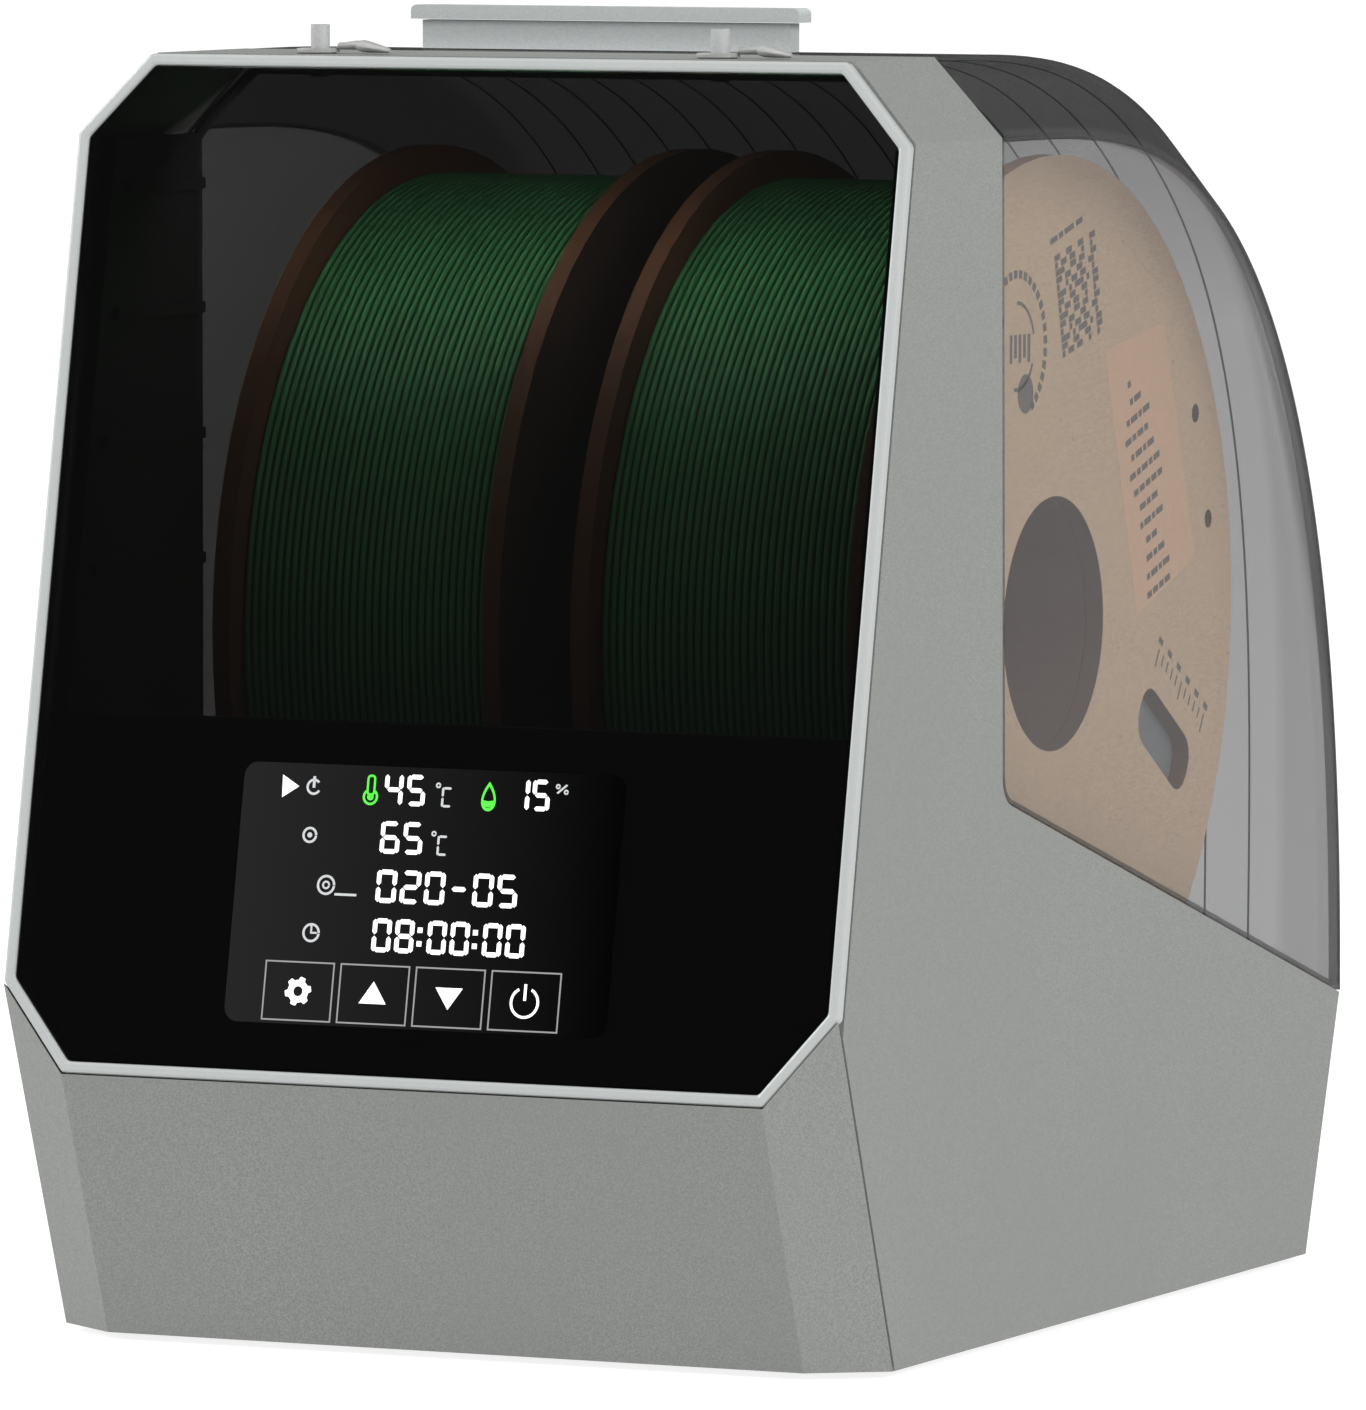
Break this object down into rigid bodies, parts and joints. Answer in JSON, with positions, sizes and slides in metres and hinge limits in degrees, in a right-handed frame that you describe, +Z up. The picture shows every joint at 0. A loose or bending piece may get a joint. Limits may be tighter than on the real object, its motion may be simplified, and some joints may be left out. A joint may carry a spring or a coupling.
{
  "type": "filament dryer box",
  "caption": "Heated cabinet with a leaning window front, a domed rear-hinged clear lid and spools turning on rollers inside.",
  "frame": {"origin": "on the table under the feet, at the middle of the footprint's bounding box", "axes": "+Z up, the leaning front faces -Y, +X to the right seen from the front"},
  "size_m": [0.19, 0.2825, 0.2779],
  "materials": {
    "textured_grey": "fine sand-textured moulded plastic",
    "satin_silver": "satin, bevelled",
    "smoked_clear": "polished smoked clear plastic",
    "clear": "polished clear plastic",
    "black_plastic": "fine moulded texture",
    "black_print": "smooth print",
    "display": "smooth display face",
    "rubber": "matt",
    "silicone": "satin translucent",
    "clear_tube": "smooth",
    "steel": "ground",
    "aluminium": "as extruded",
    "circuit_board": "solder mask",
    "kraft_card": "fibrous pressed card",
    "green_filament": "smooth wound strand"
  },
  "bodies": {
    "housing": {"main_housing": "textured_grey", "lower_front_cover": "textured_grey", "front_bezel": "satin_silver", "front_window": "smoked_clear", "base_plate": "black_plastic", "left_inner_liner": "black_plastic", "right_inner_liner": "black_plastic", "spool_tray": "black_plastic", "air_grille": "black_plastic", "left_roller_rail": "black_plastic", "centre_roller_rail": "black_plastic", "right_roller_rail": "black_plastic", "fan_housing": "black_plastic", "humidity_sensor": "black_plastic", "power_inlet": "black_plastic", "control_panel_mask": "black_print", "display_module": "display", "foot_front_left": "rubber", "foot_front_right": "rubber", "foot_rear_left": "rubber", "foot_rear_right": "rubber", "lid_gasket": "rubber", "left_outlet_grommet": "silicone", "right_outlet_grommet": "silicone", "left_outlet_tube": "clear_tube", "right_outlet_tube": "clear_tube", "base_screw_front_left": "steel", "base_screw_front_right": "steel", "base_screw_rear_left": "steel", "base_screw_rear_right": "steel", "front_axle": "steel", "rear_axle": "steel", "left_hinge_pin": "steel", "right_hinge_pin": "steel", "heater_block": "aluminium", "display_board": "circuit_board", "power_board": "circuit_board", "main_board": "circuit_board"},
    "lid": {"lid_shell": "smoked_clear", "lid_left_pane": "clear", "lid_right_pane": "clear", "handle_stem": "textured_grey", "handle_cap": "textured_grey"},
    "spool_left": {"left_spool_inner_flange": "kraft_card", "left_spool_outer_flange": "kraft_card", "left_spool_core": "kraft_card", "left_filament_winding": "green_filament"},
    "spool_right": {"right_spool_inner_flange": "kraft_card", "right_spool_outer_flange": "kraft_card", "right_spool_core": "kraft_card", "right_filament_winding": "green_filament"},
    "roller_left_front": {"left_front_roller": "steel"},
    "roller_left_rear": {"left_rear_roller": "steel"},
    "roller_right_front": {"right_front_roller": "steel"},
    "roller_right_rear": {"right_rear_roller": "steel"},
    "fan": {"fan_impeller": "black_plastic"},
    "plug_left": {"left_outlet_plug": "silicone"},
    "plug_right": {"right_outlet_plug": "silicone"}
  },
  "joints": [
    {"name": "lid_hinge", "type": "hinge", "parent": "housing", "child": "lid", "pos_m": [0, 0.1383, 0.0552], "axis": [-1, 0, 0], "range_deg": [0, 80]},
    {"name": "left_spool_spin", "type": "hinge", "parent": "housing", "child": "spool_left", "pos_m": [-0.0417, 0.0197, 0.146], "axis": [1, 0, 0], "continuous": true},
    {"name": "right_spool_spin", "type": "hinge", "parent": "housing", "child": "spool_right", "pos_m": [0.0417, 0.0197, 0.146], "axis": [1, 0, 0], "continuous": true},
    {"name": "left_front_roller_spin", "type": "hinge", "parent": "housing", "child": "roller_left_front", "pos_m": [-0.0417, -0.03445, 0.05221], "axis": [1, 0, 0], "continuous": true},
    {"name": "left_rear_roller_spin", "type": "hinge", "parent": "housing", "child": "roller_left_rear", "pos_m": [-0.0417, 0.07385, 0.05221], "axis": [1, 0, 0], "continuous": true},
    {"name": "right_front_roller_spin", "type": "hinge", "parent": "housing", "child": "roller_right_front", "pos_m": [0.0417, -0.03445, 0.05221], "axis": [1, 0, 0], "continuous": true},
    {"name": "right_rear_roller_spin", "type": "hinge", "parent": "housing", "child": "roller_right_rear", "pos_m": [0.0417, 0.07385, 0.05221], "axis": [1, 0, 0], "continuous": true},
    {"name": "fan_spin", "type": "hinge", "parent": "housing", "child": "fan", "pos_m": [-0.046, -0.0453, 0.018], "axis": [0, 0, 1], "continuous": true},
    {"name": "left_plug_lift", "type": "hinge", "parent": "housing", "child": "plug_left", "pos_m": [-0.0406, -0.0879, 0.2697], "axis": [0, -1, 0], "range_deg": [0, 100]},
    {"name": "right_plug_lift", "type": "hinge", "parent": "housing", "child": "plug_right", "pos_m": [0.0512, -0.0879, 0.2697], "axis": [0, -1, 0], "range_deg": [0, 100]}
  ],
  "couplings": [
    {"joint": "left_front_roller_spin", "follows": "left_spool_spin", "ratio": -12.5},
    {"joint": "left_rear_roller_spin", "follows": "left_spool_spin", "ratio": -12.5},
    {"joint": "right_front_roller_spin", "follows": "right_spool_spin", "ratio": -12.5},
    {"joint": "right_rear_roller_spin", "follows": "right_spool_spin", "ratio": -12.5}
  ]
}
